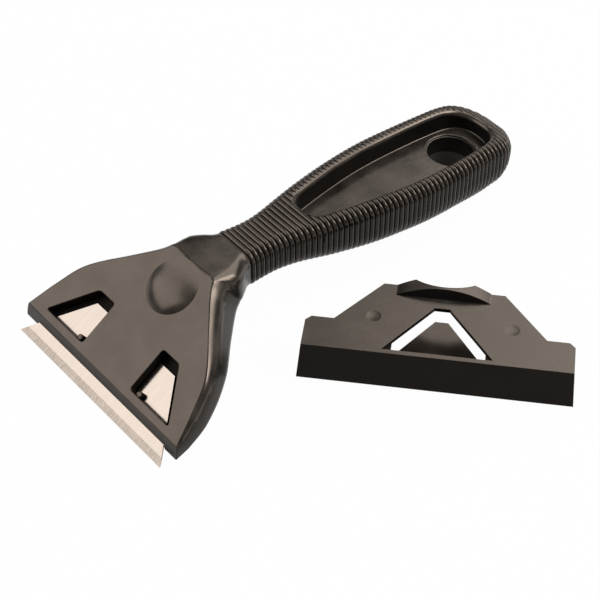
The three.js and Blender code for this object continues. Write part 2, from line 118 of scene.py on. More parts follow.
# Handle: along from the cutting edge, across from its middle, and up from the table
LENGTH = 144.5
HANDLE_HALF = 14.15
RIB_START = 48.5
RIB_END = 143
RIB_PITCH = 1.595
RIB_DEPTH = 0.7
RIB_ROUNDNESS = 2.4
RIB_SAMPLES = 8
RIB_FADE = (0.35, 0.9)
NECK_INSET = 0.3
NECK_INSET_START = 6
NECK_INSET_END = 1
NECK_STEPS = 22
TOP_SHARE = 0.36
BASE_SHARE = 0.6
WIDTH_SHARE = 0.96
END_PLAN = 132.9
END_TOP = 128
END_BASE = 134.5
END_HEIGHT = 10.3
END_CAP = 1.6
END_FLAT = 0.004
END_STEPS = 8
WEB_TILT = math.radians(4.2)
WEB_THICKNESS = 3
HOLE_X = 126.2
HOLE_Z = 12.4
HOLE_RADIUS = 6.7
HOLE_STEP = ((0, -0.7), (0.28, -0.62), (0.32, -0.3), (0.75, 0.02))
HOLE_CLEAR = 1
BOSS_WALL = 1.8
BOSS_LENGTH = 14
# Depth down the bore to which its wall takes painted shade
BORE_LINE = 5.9
HOLLOW_TIP = 55.2
HOLLOW_HALF = 9.15
HOLLOW_REAR = 10.6
HOLLOW_DEPTH = 5.5
HOLLOW_SHOULDER = (-50.5, 5.3)
HOLLOW_WIDEST = (-18, HOLLOW_HALF)
HOLLOW_TURN = (3.2, 8.3)
RIM_ROUND = 1.9
RIM_WIDTH = 1.1
RIM_FADE = 0.2
HOLLOW_ROUND = 0.4
POCKET_START = 74
POCKET_END = 132
POCKET_SHARE = 0.42
STIFFENER = 2
STIFFENER_COUNT = 4
STIFFENER_RISE = 0.6

# Guard: across from its middle, back from the foot of its front wall, and up from the table
GUARD_HALF = 35.2
GUARD_HEIGHT = 11.5
GUARD_LEAN = 1
GUARD_WALL = 1.3
GUARD_PANEL = 1.2
SHOULDER_DEPTH = 11.2
SHOULDER_INNER = 27.8
SHOULDER_CORNER = 1.5
PANEL_DEPTH = 25.5
PANEL_REAR_HALF = 16.1
SLOT_BASE = 2.3
SLOT_BASE_HALF = 14.4
SLOT_APEX = 18.5
SLOT_APEX_HALF = 2
TONGUE_THICKNESS = 1.6
TONGUE_TIP = 23
TONGUE_TIP_HALF = 1.7
TONGUE_GAP = 2
WING_INNER = 12.2
WING_DEPTH = 16.5
LIP_HALF = 12.6
LIP_REAR_HALF = 8.1
LIP_FRONT = 21.8
LIP_CREST = 22.8
LIP_REAR = 26.4
LIP_HEIGHT = 2.8
LIP_CORNER = 0.3
LIP_MARGIN = 1
SCALLOP_DIP = 23.6
GUARD_X = 68.7
GUARD_Y = -55.4
GUARD_YAW = math.radians(-48.3)
GUARD_BEVEL = 0.22
BEVEL_ANGLE = math.radians(30)
BEVEL_SEGMENTS = 2
BEVEL_PROFILE = 0.5
GUARD_DRAFT = 0.028
DRAFT_LEVEL = 0.4
DIMPLE_PLACES = ((-17.6, 13.5), (18.7, 13.6))
DIMPLE_RADIUS = 2
DIMPLE_DEPTH = 0.1

# Where the head's face begins, and where it meets the neck
FACE_X = BLADE_REACH * math.cos(FACE_TILT) - BLADE_DEPTH * math.sin(FACE_TILT)
FACE_Z = BLADE_REACH * math.sin(FACE_TILT) + BLADE_DEPTH * math.cos(FACE_TILT)
CREASE_X = FACE_X + CREASE * math.cos(FACE_TILT)
CREASE_Z = FACE_Z + CREASE * math.sin(FACE_TILT)
SLOT_TOP = BLADE_THICKNESS / 2 + FIT_GAP - BLADE_DEPTH

# Steps along each stretch of a section, and points round each turned shape
ARC_STEPS = 8
SHOULDER_STEPS = 8
CORNER_STEPS = 6
BOTTOM_STEPS = 4
FLAT_STEPS = 6
ROUND_STEPS = 4
RIM_STEPS = 10
RIM_TURN = math.radians(78)
BEZIER_STEPS = 28
LIFT_STEPS = 3
PAD_RINGS = 18
PAD_AROUND = 72
POCKET_STEPS = 14
HEAD_POCKET_STEPS = 4
LIP_STEPS = 40
DIMPLE_STEPS = 64
HOLE_AROUND = 64
BOSS_AROUND = 48
PIP_AROUND = 24
SCALLOP_AROUND = 256

# Distances at which points count as one, and angles between flat and sharp faces
JOIN_DISTANCE = 2e-4
SLIVER = 1e-4
PATCH_DISTANCE = 1e-5
PATCH_DIGITS = 5
TOUCH = 1e-3
FLAT_ANGLE = math.radians(1)
SHARP_ANGLE = math.radians(38)

# Order of the body's materials (glossy top, painted shade in recesses, a copy with painted shade on
# the sides), and the slopes and shares that choose between them
GLOSSY, PAINTED_SHADE, SHADED_SIDE = range(3)
SIDE_SLOPE = 0.38
WINDOW_SLOPE = 0.6
HOLLOW_SLOPE = 0.2
GRIND_SLOPE = 0.5
FRONT_SLOPE = -0.6
GROOVE_SHARE = 0.5
GROOVE_SIDE = 0.75

# Plastic and steel: noise scales per metre, and heights in metres
RAMP_PLACES = (0.3, 0.7)
BLACK = (0.004, 0.0034, 0.003)
WARM_TINT = (1, 0.81, 0.66, 1)
CLOUD_SCALE = 140
GRAIN_SCALE = 2600
GRAIN_STRENGTH = 0.12
GRAIN_HEIGHT = 0.00004
DRAWN_STRETCH = 0.35
DRAWN_SCALE = 900
DRAWN_STRENGTH = 0.14
DRAWN_HEIGHT = 0.00008
STEEL_STRETCH = 0.03
STEEL_SCALE = 4200
STEEL_STRENGTH = 0.1
STEEL_HEIGHT = 0.00003
STEEL_CLOUD_SCALE = 160

# The photograph's camera: its place, the way it looks and the way its right side points
CAMERA_PLACE = Vector((-153.65, -264.5, 347.55))
CAMERA_LOOK = Vector((0.4494, 0.5297, -0.7193)).normalized()
CAMERA_RIGHT = Vector((0.7649, -0.6441, 0.0036)).normalized()
CAMERA_LENS = 108
SENSOR_WIDTH = 36
CLIP_START = 0.01
CLIP_END = 20
IMAGE_RIGHT = Vector((CAMERA_RIGHT.x, CAMERA_RIGHT.y, 0)).normalized()
IMAGE_AWAY = Vector((-IMAGE_RIGHT.y, IMAGE_RIGHT.x, 0))

# Light and floor, in metres
LAMP_DISTANCE = 2
WORLD_COLOUR = (1, 0.98, 0.95, 1)
WORLD_STRENGTH = 0.2
FLOOR_SIZE = 6
FLOOR_GAP = 0.00005
FLOOR_COLOUR = (0.8, 0.8, 0.8, 1)
FLOOR_WHITE = 0.975
# Share of the floor's white glow left in the painted shade under the hanging hole
HOLE_SHADE_SHARE = 0.4


def lerp(a, b, t):
    return a + (b - a) * t


def clamp(value):
    return min(max(value, 0), 1)


def ease(value, start, end):
    t = clamp((value - start) / (end - start))
    return t * t * (3 - 2 * t)


def curve(pairs):
    """A smooth curve through (x, value) pairs, level where the values turn or stay the same."""
    slopes = []
    for i, pair in enumerate(pairs):
        before = pairs[max(i - 1, 0)]
        after = pairs[min(i + 1, len(pairs) - 1)]
        between = 0 < i < len(pairs) - 1
        turns = between and (pair[1] - before[1]) * (after[1] - pair[1]) <= 0
        slopes.append(0 if turns else (after[1] - before[1]) / (after[0] - before[0]))

    def value(x):
        i = 0
        while i < len(pairs) - 2 and pairs[i + 1][0] <= x:
            i += 1
        span = pairs[i + 1][0] - pairs[i][0]
        t = clamp((x - pairs[i][0]) / span)
        rise = pairs[i + 1][1] - pairs[i][1]
        start = slopes[i] * span * t * (1 - t) ** 2
        end = slopes[i + 1] * span * t * t * (t - 1)
        return pairs[i][1] + rise * t * t * (3 - 2 * t) + start + end

    return value


def head_point(along, y, out):
    """Point of the head, along the face from its front edge, across, and out from the face."""
    x = FACE_X + along * math.cos(FACE_TILT) - out * math.sin(FACE_TILT)
    z = FACE_Z + along * math.sin(FACE_TILT) + out * math.cos(FACE_TILT)
    return Vector((x, y, z))


NECK_BASE = head_point(CREASE, 0, -NECK_DEPTH)
HEAD_FRAME = Matrix.Translation((FACE_X, 0, FACE_Z)) @ Matrix.Rotation(-FACE_TILT, 4, "Y")
WEB_FRAME = Matrix.Translation((HOLE_X, 0, HOLE_Z)) @ Matrix.Rotation(WEB_TILT, 4, "Y")

face_half = curve([
    (0, HEAD_WIDTH / 2), (9, 29.2), (17.5, 25.5), (28, 15.8), (32, 12), (34.6, 9.75),
    (CREASE, NECK_HALF),
])
head_depth = curve([
    (0, 4.4), (8, 7.8), (16, 9), (21, 10.2), (27, 11.6), (CREASE, NECK_DEPTH),
])
head_swell = curve([
    (0, 0.5), (9, 1.15), (17.5, 1.25), (22, 1.8), (28, 1.95), (CREASE, NECK_SWELL),
])
head_base_radius = curve([(0, 0.6), (12, 2.4), (CREASE, 3.6)])
face_radius = curve([(0, NOSE_RADIUS), (12, EDGE_RADIUS), (CREASE, EDGE_RADIUS)])

handle_half = curve([
    (CREASE_X, NECK_HALF + NECK_SWELL), (38, 11), (41, 10.75), (44, 9.5), (47.5, 7.75),
    (56, 7.1), (62, 7.7), (70, 9.35), (76, 10.55), (88, 12.5), (100, 13.85), (107, HANDLE_HALF),
    (118, 13.9), (126, 13.4), (END_PLAN, 12.9),
])
handle_top = curve([
    (CREASE_X, CREASE_Z), (42, 25.25), (50, 24.4), (58, 23.6), (68, 23.2), (80, 22.6), (94, 21.5),
    (106, 20.3), (118, 19.3), (130, 18.5), (LENGTH, 17.2),
])
underside = curve([
    (NECK_BASE.x, NECK_BASE.z), (50, 12.5), (58, 11.6), (66, 10.5), (76, 8.3), (88, 5.95),
    (100, 4.2), (112, 2.1), (118, 1.3), (124, 0.2), (130, -0.5), (END_BASE, -0.5),
])
top_radius = curve([
    (CREASE_X, EDGE_RADIUS), (37, 2.5), (39.3, 3.9), (46, 3.8), (52, 3.5), (100, 3.5),
])
base_radius = curve([
    (CREASE_X, 3.6), (48, 4), (60, 4.7), (76, 5.6), (100, 7.4), (112, 8.6), (130, 9.9),
])


class Shell:
    """Points in millimetres, and the faces between them."""

    def __init__(self):
        self.points = []
        self.faces = []

    def row(self, points):
        start = len(self.points)
        self.points.extend(points)
        return list(range(start, start + len(points)))

    def loft(self, rows, closed=True):
        for first, second in zip(rows, rows[1:]):
            count = len(first) if closed else len(first) - 1
            for i in range(count):
                j = (i + 1) % len(first)
                self.faces.append((first[i], first[j], second[j], second[i]))

    def build(self, name):
        """Closed mesh object, with points that coincide joined."""
        mesh = bpy.data.meshes.new(name)
        mesh.from_pydata([tuple(point) for point in self.points], [], self.faces)
        work = bmesh.new()
        work.from_mesh(mesh)
        bmesh.ops.remove_doubles(work, verts=work.verts, dist=JOIN_DISTANCE)
        bmesh.ops.dissolve_degenerate(work, edges=work.edges, dist=SLIVER)
        bmesh.ops.recalc_face_normals(work, faces=work.faces)
        work.to_mesh(mesh)
        work.free()
        return linked(name, mesh)


def linked(name, data):
    thing = bpy.data.objects.new(name, data)
    bpy.context.scene.collection.objects.link(thing)
    return thing


def solid(name, rows):
    """Closed mesh object through rows of points, with both ends filled in."""
    shell = Shell()
    made = [shell.row(row) for row in rows]
    shell.loft(made)
    shell.faces += [tuple(made[0]), tuple(made[-1])]
    return shell.build(name)


def rounded(corners, radius):
    """Closed outline of a polygon with its corners rounded."""
    outline = []
    for i, corner in enumerate(corners):
        middle = Vector(corner)
        before = (Vector(corners[i - 1]) - middle).normalized() * radius
        after = (Vector(corners[(i + 1) % len(corners)]) - middle).normalized() * radius
        for k in range(ROUND_STEPS + 1):
            t = k / ROUND_STEPS
            outline.append(middle + before * (1 - t) ** 2 + after * t * t)
    return outline


def outward(outline):
    """Unit normals of a closed plan outline, pointing out of it."""
    turn = sum(a.x * b.y - b.x * a.y for a, b in zip(outline, outline[1:] + outline[:1]))
    sign = 1 if turn > 0 else -1
    normals = []
    for i in range(len(outline)):
        along = (outline[(i + 1) % len(outline)] - outline[i - 1]).normalized()
        normals.append(Vector((along.y, -along.x)) * sign)
    return normals


def bent(first, corner, last, t):
    """Point of a round between two points, by way of a corner."""
    return first * (1 - t) ** 2 + corner * (2 * t * (1 - t)) + last * t * t


def flank(edge, turn, swell, depth, corner):
    """Side of a section, edge to base, as (out, down, normal out, normal down, rib share)."""
    side = []
    for k in range(ARC_STEPS + 1):
        a = k / ARC_STEPS * turn
        out = edge * (math.sin(a) - math.sin(turn))
        side.append((out, edge * (1 - math.cos(a)), math.sin(a), -math.cos(a), 1))
    start = edge * (1 - math.cos(turn))
    drop = min(SHOULDER_DROP, (depth - start - corner) * SHOULDER_SHARE)
    bend = Vector((swell, start + min(swell * math.tan(turn), drop)))
    for k in range(1, SHOULDER_STEPS + 1):
        place = bent(Vector((0, start)), bend, Vector((swell, start + drop)), k / SHOULDER_STEPS)
        side.append((place.x, place.y, 1, 0, 1))
    for k in range(CORNER_STEPS + 1):
        a = k / CORNER_STEPS * math.pi / 2
        out = swell + corner * (math.cos(a) - 1)
        share = 1 - ease(k / CORNER_STEPS, *RIB_FADE)
        side.append((out, depth + corner * (math.sin(a) - 1), math.cos(a), math.sin(a), share))
    return side


def to_middle(last):
    """The flat base of a half section, from its last point to the middle."""
    shares = [1 - k / BOTTOM_STEPS for k in range(1, BOTTOM_STEPS + 1)]
    return [Vector((last.x, last.y * share, last.z)) for share in shares]


def mirrored(half):
    """A half section, and its other side back to the top."""
    other = [Vector((point.x, -point.y, point.z)) for point in reversed(half)]
    return half + other


def head_section(along):
    """Open section of the head, square to its face: from one face edge round to the other."""
    depth = head_depth(along)
    corner = head_base_radius(along)
    side = flank(face_radius(along), EDGE_TURN, head_swell(along), depth, corner)
    top = head_point(along, 0, 0)
    return head_side(top, head_point(along, 0, -depth), face_half(along), side)


def head_side(top, base, half, side):
    """Whole section of the head from one side of it."""
    depth = side[-1][1]
    points = []
    for out, down, *_ in side:
        place = top.lerp(base, down / depth)
        points.append(Vector((place.x, -(half + out), place.z)))
    return mirrored(points + to_middle(points[-1]))


def nose_section():
    """Section of the front, from the face's front edge to the foot of the nose."""
    depth = math.hypot(NOSE_REACH, NOSE_DEPTH)
    side = flank(NOSE_RADIUS, EDGE_TURN, head_swell(0), depth, NOSE_RADIUS)
    foot = head_point(-NOSE_REACH, 0, -NOSE_DEPTH)
    return head_side(head_point(0, 0, 0), foot, face_half(0), side)


def nose_rows(shell, section, following):
    """Rounds the front edges and closes the front; gives the head's first row."""
    down = (head_point(-NOSE_REACH, 0, -NOSE_DEPTH) - head_point(0, 0, 0)).normalized()
    flat = [Vector((p.y, (p - head_point(0, p.y, 0)).dot(down))) for p in section]
    normals = outward(flat)
    normals[0] = normals[-1] = Vector((0, -1))
    rows = []
    for k in range(ROUND_STEPS + 1):
        row = []
        for point, normal, other in zip(section, normals, following):
            back = point + (other - point).normalized() * FRONT_RADIUS
            inset = point - (Vector((0, normal.x, 0)) + down * normal.y) * FRONT_RADIUS
            row.append(bent(back, point, inset, k / ROUND_STEPS))
        rows.append(shell.row(row))
    shell.loft(rows)
    shell.faces.append(tuple(rows[-1]))
    return rows[0]


def hollow_half_plan():
    """Half plan of the hollow on the web: blunt tip, long flank and round rear."""
    runs = [
        [(-HOLLOW_TIP, 0), (-HOLLOW_TIP, 3.6), (-54, 4.7), HOLLOW_SHOULDER],
        [HOLLOW_SHOULDER, (-40, 7.4), (-30, HOLLOW_HALF), HOLLOW_WIDEST],
        [HOLLOW_WIDEST, (-8, HOLLOW_HALF), (-2, 8.9), HOLLOW_TURN],
        [HOLLOW_TURN, (8.6, 7.6), (HOLLOW_REAR, 4.6), (HOLLOW_REAR, 0)],
    ]
    half = []
    for run in runs:
        points = [Vector((x, y, 0)) for x, y in run]
        half += interpolate_bezier(*points, BEZIER_STEPS)[:-1]
    return [Vector((point.x, point.y)) for point in half] + [Vector((HOLLOW_REAR, 0))]


HOLLOW_HALF_PLAN = hollow_half_plan()


def round_end(x, start):
    """Quarter-circle fade from 1 at a place to 0 at the end of the handle."""
    t = clamp((x - start) / (LENGTH - start))
    return math.sqrt(1 - t * t)


def rib_groove(x):
    """How far the surface is drawn in from the tops of the ribs."""
    if x < RIB_START:
        return NECK_INSET * ease(x, RIB_START - NECK_INSET_START, RIB_START - NECK_INSET_END)
    if x > RIB_END:
        return 0
    t = (x - RIB_START) / RIB_PITCH % 1
    return RIB_DEPTH * abs(2 * t - 1) ** RIB_ROUNDNESS


def rib_share(x, y):
    """Share of the ribs at a place: they end on the lip round the hollow."""
    place = Vector((x - HOLE_X - HOLLOW_DEPTH * math.tan(WEB_TILT), y))
    nearest = min((place - point).length for point in HOLLOW_HALF_PLAN)
    return ease(nearest, RIM_WIDTH * (1 - RIM_FADE), RIM_WIDTH * (1 + RIM_FADE))


def grip_measures(x):
    """Half width, top, base and lean of the section at a place, and its share of the neck."""
    t = clamp((x - CREASE_X) / (RIB_START - RIB_PITCH - CREASE_X))
    lean = (NECK_BASE.x - CREASE_X) * (1 - t) ** 2
    top = lerp(END_HEIGHT, handle_top(x), round_end(x, END_TOP))
    base = lerp(END_HEIGHT, underside(x + lean), round_end(x, END_BASE))
    half = handle_half(min(x, END_PLAN)) * round_end(x, END_PLAN)
    return half, top, base, lean, t


def grip_corners(x):
    """Radius of the section's top edges and of its base corners, and its depth."""
    half, top, base, lean, _ = grip_measures(x)
    depth = math.hypot(lean, top - base)
    edge = min(top_radius(x), half * WIDTH_SHARE, depth * TOP_SHARE)
    corner = min(base_radius(x), half * WIDTH_SHARE, depth * BASE_SHARE)
    return edge, corner, depth


def grip_section(x):
    """Half a section of the neck or handle, from the middle of its top round to its flat foot."""
    half, top, base, lean, t = grip_measures(x)
    edge, corner, depth = grip_corners(x)
    blend = ease(t, 0, NECK_BLEND)
    swell = NECK_SWELL * (1 - blend)
    half -= swell
    turn = lerp(EDGE_TURN, math.pi / 2, blend)
    groove = rib_groove(x)
    crown = Vector((x, 0, top))
    foot = Vector((x + lean, 0, base))
    points = []
    for k in range(FLAT_STEPS):
        y = (half - edge * math.sin(turn)) * k / FLAT_STEPS
        points.append(Vector((x, -y, top - groove * rib_share(x, y))))
    for out, down, normal_out, normal_down, share in flank(edge, turn, swell, depth, corner):
        inward = groove * share * rib_share(x, half + out)
        place = crown.lerp(foot, (down - inward * normal_down) / depth)
        points.append(Vector((place.x, -(half + out - inward * normal_out), max(place.z, 0))))
    return points + to_middle(points[-1])


def grip_stations():
    """Places of the sections of neck and handle, close together at the end."""
    places = [lerp(CREASE_X, RIB_START, k / NECK_STEPS) for k in range(NECK_STEPS)]
    count = round((RIB_END - RIB_START) / RIB_PITCH * RIB_SAMPLES)
    places += [RIB_START + RIB_PITCH * k / RIB_SAMPLES for k in range(count + 1)]
    places += [LENGTH - END_CAP * (1 - k / END_STEPS) ** 2 - END_FLAT for k in range(END_STEPS + 1)]
    return sorted(places)


def roof(x, y):
    """Height of the handle's top, without its ribs."""
    half, top, *_ = grip_measures(x)
    edge = grip_corners(x)[0]
    over = clamp((abs(y) - half + edge) / edge)
    return top - edge * (1 - math.sqrt(1 - over * over))


def under_roof(place, drop):
    """Point above a place on the web, a drop under the handle's top."""
    foot = WEB_FRAME @ Vector((place.x, place.y, 0))
    lift = HOLLOW_DEPTH
    for _ in range(LIFT_STEPS):
        height = roof(foot.x + lift * math.sin(WEB_TILT), place.y) - drop
        lift = (height - foot.z) / math.cos(WEB_TILT)
    return WEB_FRAME @ Vector((place.x, place.y, lift))


def handle_hollow():
    """Cutter for the hollow in the handle's top, with a round foot and a round rim."""
    other = [Vector((point.x, -point.y)) for point in reversed(HOLLOW_HALF_PLAN[1:-1])]
    outline = HOLLOW_HALF_PLAN + other
    normals = outward(outline)
    rows = []
    for k in range(ROUND_STEPS + 1):
        a = k / ROUND_STEPS * math.pi / 2
        inset = HOLLOW_ROUND * (1 - math.sin(a))
        rise = Vector((0, 0, HOLLOW_ROUND * (1 - math.cos(a))))
        rows.append([WEB_FRAME @ (p - n * inset).to_3d() + rise for p, n in zip(outline, normals)])
    for k in range(RIM_STEPS + 1):
        a = k / RIM_STEPS * RIM_TURN
        out = RIM_ROUND * (1 - math.cos(a))
        drop = RIM_ROUND * (1 - math.sin(a))
        rows.append([under_roof(p + n * out, drop) for p, n in zip(outline, normals)])
    # The last rows carry the rim's slope on and then rise clear of the handle
    out += RIM_ROUND * math.sin(RIM_TURN)
    drop -= RIM_ROUND * math.cos(RIM_TURN)
    rows.append([under_roof(p + n * out, drop) for p, n in zip(outline, normals)])
    rows.append([Vector((point.x, point.y, CUT)) for point in rows[-1]])
    return solid("hollow", rows)


def face_patch(shell, boundary, holes):
    """Flat face of the head between its boundary and the holes in it, as plan points."""
    points = []
    edges = []
    for loop in [boundary] + holes:
        start = len(points)
        points.extend(loop)
        edges.extend((start + i, start + (i + 1) % len(loop)) for i in range(len(loop)))
    made, _, faces, *_ = delaunay_2d_cdt(points, edges, [], 0, PATCH_DISTANCE)
    rows = shell.row([head_point(p.x, p.y, 0) for p in made])
    for face in faces:
        centre = sum((made[i] for i in face), Vector((0, 0))) / len(face)
        if inside(centre, boundary) and not any(inside(centre, hole) for hole in holes):
            shell.faces.append(tuple(rows[i] for i in face))


def inside(point, loop):
    """True where a plan point lies in a closed outline."""
    crossings = 0
    for a, b in zip(loop, loop[1:] + loop[:1]):
        if (a.y > point.y) != (b.y > point.y):
            crossings += point.x < a.x + (b.x - a.x) * (point.y - a.y) / (b.y - a.y)
    return crossings % 2 == 1


def window_rows(shell, side):
    """Window in the head with a rounded edge; gives its hole in the face."""
    outline = rounded([
        (WINDOW_FRONT, side * WINDOW_INNER), (WINDOW_FRONT, side * WINDOW_OUTER_FRONT),
        (WINDOW_REAR, side * WINDOW_OUTER_REAR), (WINDOW_REAR, side * WINDOW_INNER),
    ], WINDOW_CORNER)
    wide = [p + n * WINDOW_EDGE for p, n in zip(outline, outward(outline))]
    rows = []
    for k in range(ROUND_STEPS + 1):
        row = []
        for far, near in zip(wide, outline):
            first = head_point(far.x, far.y, 0)
            corner = head_point(near.x, near.y, 0)
            last = head_point(near.x, near.y, -WINDOW_EDGE)
            row.append(bent(first, corner, last, k / ROUND_STEPS))
        rows.append(shell.row(row))
    rows.append(shell.row([head_point(p.x, p.y, -WINDOW_FLOOR) for p in outline]))
    shell.loft(rows)
    shell.faces.append(tuple(rows[-1]))
    return wide


def pad_rows(shell):
    """Raised thumb pad, steep at its front and low at its rear; gives its hole in the face."""
    rows = []
    for k in range(PAD_RINGS):
        share = 1 - (k / PAD_RINGS) ** PAD_SPACING
        row = []
        for j in range(PAD_AROUND):
            a = j / PAD_AROUND * 2 * math.pi
            along = share * math.cos(a)
            aside = share * math.sin(a)
            height = PAD_HEIGHT * (1 - share ** PAD_EDGE) * (1 - ease(along, PAD_CREST, 1))
            x = PAD_CENTRE + PAD_LENGTH / 2 * along
            row.append(head_point(x, PAD_WIDTH / 2 * aside, height))
        rows.append(shell.row(row))
    shell.loft(rows)
    shell.faces.append(tuple(rows[-1]))
    first = [shell.points[i] for i in rows[0]]
    return [face_plan(point) for point in first]


def face_plan(point):
    """Place of a point on the head's face, along it and across."""
    along = (point.x - FACE_X) * math.cos(FACE_TILT) + (point.z - FACE_Z) * math.sin(FACE_TILT)
    return Vector((along, point.y))


def body_shell():
    """Outside of head, neck and handle, with the windows and the pad."""
    shell = Shell()
    places = [lerp(HEAD_START, CREASE, k / HEAD_STEPS) for k in range(HEAD_STEPS + 1)]
    sections = [head_section(along) for along in places]
    first = nose_rows(shell, nose_section(), sections[0])
    rows = [first] + [shell.row(section) for section in sections]
    shell.loft(rows, closed=False)
    crease = grip_section(CREASE_X)
    grips = [shell.row(mirrored(grip_section(x))) for x in grip_stations()]
    shell.loft(grips)
    shell.faces.append(tuple(grips[-1]))
    # The face runs between its two long edges, from the front to the crease
    edge = [face_plan(shell.points[row[0]]) for row in rows]
    tops = sorted(set(round(p.y, PATCH_DIGITS) for p in crease if p.z > CREASE_Z - TOUCH))
    half = edge + [Vector((CREASE, y)) for y in tops if edge[-1].y + TOUCH < y < 0]
    other = [Vector((p.x, -p.y)) for p in reversed(half)]
    boundary = half + [Vector((CREASE, 0))] + other
    holes = [window_rows(shell, side) for side in (-1, 1)] + [pad_rows(shell)]
    face_patch(shell, boundary, holes)
    return shell.build("scraper_body_detail")


def prism(outline, low, high, matrix=Matrix.Identity(4)):
    """Closed prism of a plan outline between two heights, as a mesh object."""
    rows = [[matrix @ Vector((p[0], p[1], z)) for p in outline] for z in (low, high)]
    return solid("prism", rows)


def lathe(profile, around, matrix):
    """Closed turned shape from (radius, height) pairs whose first and last radius is zero."""
    shell = Shell()
    turns = [j / around * 2 * math.pi for j in range(around)]
    rows = []
    for radius, height in profile:
        ring = [Vector((radius * math.cos(a), radius * math.sin(a), height)) for a in turns]
        rows.append(shell.row([matrix @ point for point in ring]))
    shell.loft(rows)
    return shell.build("turned")


def drum(radius, low, high, around, matrix):
    """Round bar between two heights."""
    return lathe([(0, low), (radius, low), (radius, high), (0, high)], around, matrix)


def combine(target, tool, operation):
    """Boolean operation on the target with a second object, which is deleted."""
    step = target.modifiers.new("step", "BOOLEAN")
    step.operation = operation
    step.solver = "EXACT"
    step.object = tool
    graph = bpy.context.evaluated_depsgraph_get()
    made = bpy.data.meshes.new_from_object(target.evaluated_get(graph))
    target.modifiers.clear()
    old = target.data
    target.data = made
    bpy.data.meshes.remove(old)
    spare = tool.data
    bpy.data.objects.remove(tool)
    bpy.data.meshes.remove(spare)
    return target


def blade_half(along):
    """Half length of the blade at a place along the face."""
    slope = (BLADE_LENGTH - BLADE_BACK_LENGTH) / 2 / BLADE_WIDTH
    return BLADE_BACK_LENGTH / 2 + slope * (BLADE_WIDTH - BLADE_REACH - along)


def blade_slot():
    """Slot for the blade, with two lugs standing into it at the back."""
    back = BLADE_WIDTH - BLADE_REACH + SIDE_GAP
    front = -BLADE_REACH - BLADE_WIDTH
    lug = NOTCH_WIDTH / 2 - SIDE_GAP
    tip = BLADE_WIDTH - BLADE_REACH - NOTCH_DEPTH + FIT_GAP
    half = [
        (front, blade_half(front) + SIDE_GAP), (back, blade_half(back) + SIDE_GAP),
        (back, NOTCH_OFFSET + lug), (tip, NOTCH_OFFSET + lug),
        (tip, NOTCH_OFFSET - lug), (back, NOTCH_OFFSET - lug),
    ]
    outline = half + [(x, -y) for x, y in reversed(half)]
    return prism(outline, SLOT_TOP - BLADE_THICKNESS - 2 * FIT_GAP, SLOT_TOP, HEAD_FRAME)


def hanging_hole():
    """Cutter for the hanging hole, with a chamfer and a small step at its top."""
    profile = [(0, -CUT), (HOLE_RADIUS, -CUT), (HOLE_RADIUS, -BORE_LINE)]
    profile += [(HOLE_RADIUS + out, height) for out, height in HOLE_STEP]
    profile += [(profile[-1][0], HOLE_CLEAR), (0, HOLE_CLEAR)]
    return lathe(profile, HOLE_AROUND, WEB_FRAME)


def box_prism(x, y, width, depth, low, high, matrix=Matrix.Identity(4)):
    """Block round a plan place, between two heights."""
    corners = ((-1, -1), (1, -1), (1, 1), (-1, 1))
    outline = [(x + i * width / 2, y + j * depth / 2) for i, j in corners]
    return prism(outline, low, high, matrix)


def handle_pockets():
    """Pockets in the handle's underside, parted by stiffeners, with a boss at the hole."""
    half = []
    for i in range(POCKET_STEPS + 1):
        x = lerp(POCKET_START, POCKET_END, i / POCKET_STEPS)
        half.append((x - HOLE_X, grip_measures(x)[0] * POCKET_SHARE))
    outline = half + [(x, -y) for x, y in reversed(half)]
    pockets = prism(outline, -CUT, -WEB_THICKNESS, WEB_FRAME)
    spine = box_prism(LENGTH / 2, 0, LENGTH, STIFFENER, STIFFENER_RISE, CUT)
    combine(pockets, spine, "DIFFERENCE")
    for i in range(1, STIFFENER_COUNT + 1):
        x = lerp(POCKET_START, POCKET_END, i / (STIFFENER_COUNT + 1))
        web = box_prism(x, 0, STIFFENER, HEAD_WIDTH, underside(x) + STIFFENER_RISE, CUT)
        combine(pockets, web, "DIFFERENCE")
    boss = drum(HOLE_RADIUS + BOSS_WALL, -BOSS_LENGTH, CUT, BOSS_AROUND, WEB_FRAME)
    return combine(pockets, boss, "DIFFERENCE")


def head_pocket(side):
    """Pockets under one side of the head, parted by a stiffener."""
    inner = side * STIFFENER / 2
    outline = [(HEAD_POCKET_FRONT, inner), (HEAD_POCKET_REAR, inner)]
    for i in range(HEAD_POCKET_STEPS + 1):
        along = lerp(HEAD_POCKET_REAR, HEAD_POCKET_FRONT, i / HEAD_POCKET_STEPS)
        outline.append((along, side * (face_half(along) - HEAD_WALL)))
    pocket = prism(outline, -CUT, -HEAD_POCKET_ROOF, HEAD_FRAME)
    middle = (HEAD_POCKET_FRONT + HEAD_POCKET_REAR) / 2
    offset = side * HEAD_STIFFENER_OFFSET
    stiffener = box_prism(middle, offset, CUT, STIFFENER, -2 * CUT, CUT, HEAD_FRAME)
    return combine(pocket, stiffener, "DIFFERENCE")


def hold_down_pip(side):
    """Small round-topped pip over the blade, in the front corner of a window."""
    place = Matrix.Translation((WINDOW_FRONT + PIP_RADIUS * PIP_INSET, side * PIP_OFFSET, 0))
    profile = [(0, SLOT_TOP), (PIP_RADIUS, SLOT_TOP), (PIP_RADIUS, -PIP_TOP - PIP_ROUND)]
    for k in range(1, ROUND_STEPS + 1):
        a = k / ROUND_STEPS * math.pi / 2
        radius = PIP_RADIUS - PIP_ROUND + PIP_ROUND * math.cos(a)
        profile.append((radius, -PIP_TOP - PIP_ROUND + PIP_ROUND * math.sin(a)))
    profile.append((0, -PIP_TOP))
    return lathe(profile, PIP_AROUND, HEAD_FRAME @ place)


def finish_mesh(thing, sharp=SHARP_ANGLE):
    """Metres for millimetres, and smooth shading with sharp edges kept."""
    thing.data.transform(Matrix.Scale(MM, 4))
    thing.data.shade_smooth()
    thing.data.set_sharp_from_angle(angle=sharp)
    normals = thing.modifiers.new("normals", "WEIGHTED_NORMAL")
    normals.keep_sharp = True


